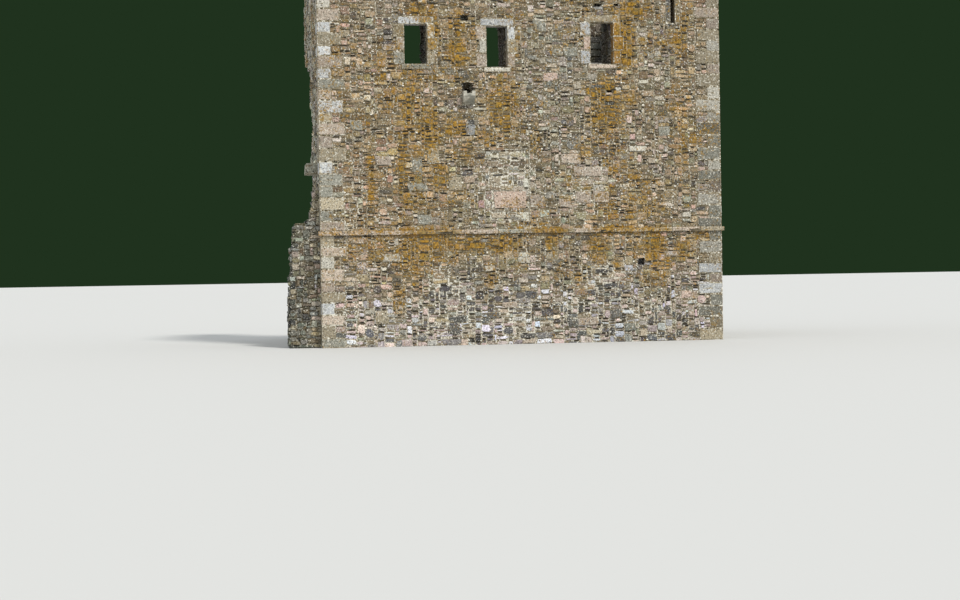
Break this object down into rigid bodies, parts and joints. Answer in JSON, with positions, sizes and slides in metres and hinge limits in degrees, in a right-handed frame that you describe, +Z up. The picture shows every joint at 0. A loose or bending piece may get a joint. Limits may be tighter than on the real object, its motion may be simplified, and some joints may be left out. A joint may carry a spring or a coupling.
{
  "type": "ruined castle keep",
  "caption": "Ruined roofless rubble keep with dressed corners, a string course, small windows and a vaulted cellar, broken down at the back.",
  "frame": {"origin": "middle of the keep's plan, at the lowest level where its walls meet the ground", "axes": "+Z up; -Y is the way the front with three windows faces; +X is to the right of someone who looks at the front"},
  "size_m": [10.835, 7.955, 11.048],
  "materials": {
    "rubble": "rough lime-bedded rubble",
    "core_rubble": "broken grey wall core",
    "dressed_stone": "tooled and weathered",
    "vault_stone": "rough vault stones",
    "cellar_paving": "trodden and dirty"
  },
  "bodies": {
    "root": {"front_wall_ground": "rubble", "front_wall_hall": "rubble", "front_wall_upper": "rubble", "front_wall_head": "rubble", "right_wall_ground": "rubble", "right_wall_hall": "rubble", "right_wall_upper": "rubble", "right_wall_head": "rubble", "left_wall_ground": "rubble", "left_wall_hall": "rubble", "left_wall_upper": "rubble", "back_wall_ground": "rubble", "back_wall_hall": "rubble", "back_wall_upper": "rubble", "blocked_doorway_infill": "rubble", "blocked_loop_infill": "rubble", "front_left_quoins": "dressed_stone", "front_right_quoins": "dressed_stone", "back_right_quoins": "dressed_stone", "back_left_quoins": "dressed_stone", "front_string_course": "dressed_stone", "right_string_course": "dressed_stone", "left_string_course": "dressed_stone", "back_string_course": "dressed_stone", "front_window_lintels": "dressed_stone", "front_window_sills": "dressed_stone", "front_window_jambs": "dressed_stone", "slit_window_frame": "dressed_stone", "right_window_lintels": "dressed_stone", "right_window_sills": "dressed_stone", "right_window_jambs": "dressed_stone", "back_window_lintel": "dressed_stone", "back_window_sill": "dressed_stone", "back_window_jambs": "dressed_stone", "drain_spout": "dressed_stone", "doorway_arch": "dressed_stone", "doorway_jambs": "dressed_stone", "doorway_threshold": "dressed_stone", "front_joist_corbels": "dressed_stone", "back_joist_corbels": "dressed_stone", "yard_wall_stub": "core_rubble", "cellar_vault": "vault_stone", "cellar_floor": "cellar_paving"}
  },
  "joints": []
}
